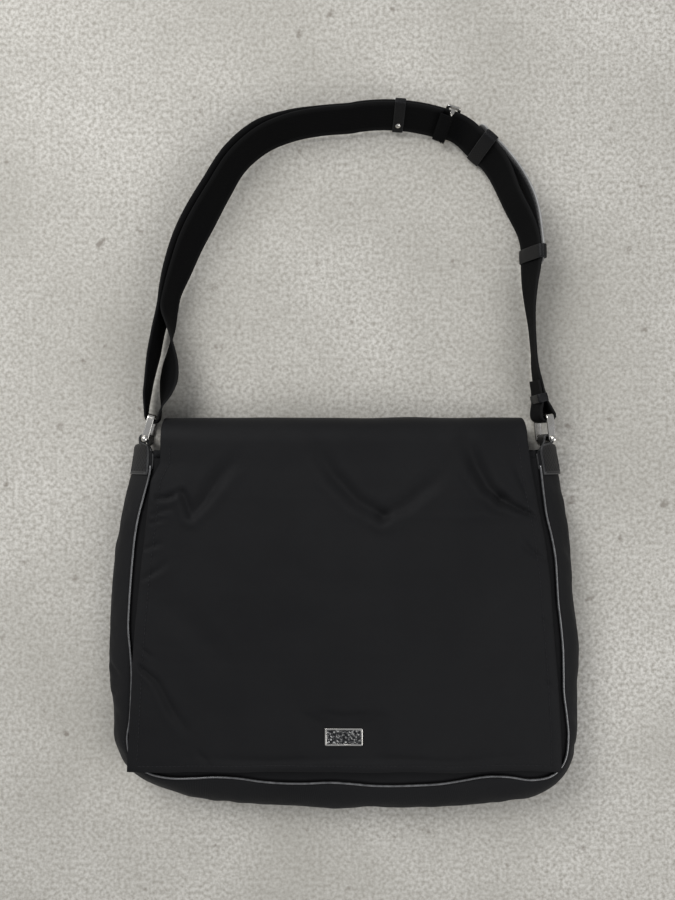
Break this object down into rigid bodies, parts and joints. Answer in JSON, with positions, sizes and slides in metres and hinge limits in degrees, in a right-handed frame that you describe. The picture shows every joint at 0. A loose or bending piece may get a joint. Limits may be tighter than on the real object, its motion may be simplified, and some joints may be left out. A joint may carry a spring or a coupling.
{
  "type": "messenger bag",
  "caption": "Flat nylon messenger bag with a full-length fold-over flap, piped seams, leather tabs, metal rings and an adjustable webbing shoulder strap with a leather pad.",
  "frame": {"origin": "middle of the back panel's outer face, which lies on the floor; the bag's mouth is 150 mm along +Y and its bottom seam 121 mm along -Y", "axes": "+X to the right as the flap is looked at, +Y from the bag's bottom to its mouth and strap, +Z from the back panel to the flap"},
  "size_m": [0.3942, 0.5985, 0.0427],
  "materials": {
    "nylon": "tightly woven black nylon twill with a soft sheen",
    "lining": "thin smooth black lining cloth",
    "piping": "thin glossy black-grey piping",
    "binding": "black ribbed binding tape",
    "webbing": "tightly ribbed matt black webbing",
    "leather": "black cross-grained leather with worn grey edges",
    "nickel": "polished nickel with fine scratches",
    "badge": "nickel frame round a darkened textured field",
    "magnet": "plain dull steel"
  },
  "bodies": {
    "body": {"back_panel": "nylon", "front_panel": "nylon", "gusset": "nylon", "front_piping": "piping", "back_piping": "piping", "lining_back": "lining", "lining_front": "lining", "lining_gusset": "lining", "mouth_binding": "binding", "magnet_base": "magnet", "magnet_base_washer": "magnet", "tab_left": "leather", "tab_right": "leather", "flap_fold": "nylon"},
    "flap": {"flap_shell": "nylon", "flap_lining": "lining", "badge_plate": "badge", "badge_washer": "magnet", "magnet_cap": "magnet", "magnet_cap_washer": "magnet"},
    "strap": {"strap_webbing": "webbing", "end_keeper": "leather"},
    "left_ring": {"ring_frame_left": "nickel", "ring_pin_left": "nickel"},
    "right_ring": {"ring_frame_right": "nickel", "ring_pin_right": "nickel"},
    "adjuster": {"adjuster_frame": "nickel", "adjuster_bar": "nickel", "adjuster_loop": "webbing"},
    "snap_keeper": {"keeper_band": "leather", "keeper_snap_cap": "nickel", "keeper_snap_stud": "nickel"},
    "pad": {"shoulder_pad": "leather", "pad_loop_upper": "leather", "pad_loop_lower": "leather"}
  },
  "joints": [
    {"name": "flap_open", "type": "hinge", "parent": "body", "child": "flap", "pos_m": [0, 0.158, 0.02], "axis": [-1, 0, 0], "range_deg": [0, 90], "deforming": ["flap_fold"]},
    {"name": "strap_lift", "type": "hinge", "parent": "body", "child": "strap", "pos_m": [0, 0.16, 0.019], "axis": [1, 0, 0], "range_deg": [0, 12], "deforming": ["tab_left", "tab_right"]},
    {"name": "left_ring_turn", "type": "hinge", "parent": "strap", "child": "left_ring", "pos_m": [-0.165, 0.16, 0.019], "axis": [0, 0, 1], "range_deg": [-3, 3]},
    {"name": "right_ring_turn", "type": "hinge", "parent": "strap", "child": "right_ring", "pos_m": [0.169, 0.16, 0.019], "axis": [0, 0, 1], "range_deg": [-3, 3]},
    {"name": "adjuster_slide", "type": "hinge", "parent": "strap", "child": "adjuster", "pos_m": [0.035, 0.274, 0.0136], "axis": [0, 0, 1], "range_deg": [0, 4]},
    {"name": "snap_keeper_slide", "type": "hinge", "parent": "strap", "child": "snap_keeper", "pos_m": [0.035, 0.274, 0.0136], "axis": [0, 0, 1], "range_deg": [-2, 6]},
    {"name": "pad_slide", "type": "hinge", "parent": "strap", "child": "pad", "pos_m": [0.0345, 0.3115, 0.0168], "axis": [0, 0, 1], "range_deg": [-1.2, 1.2]}
  ]
}
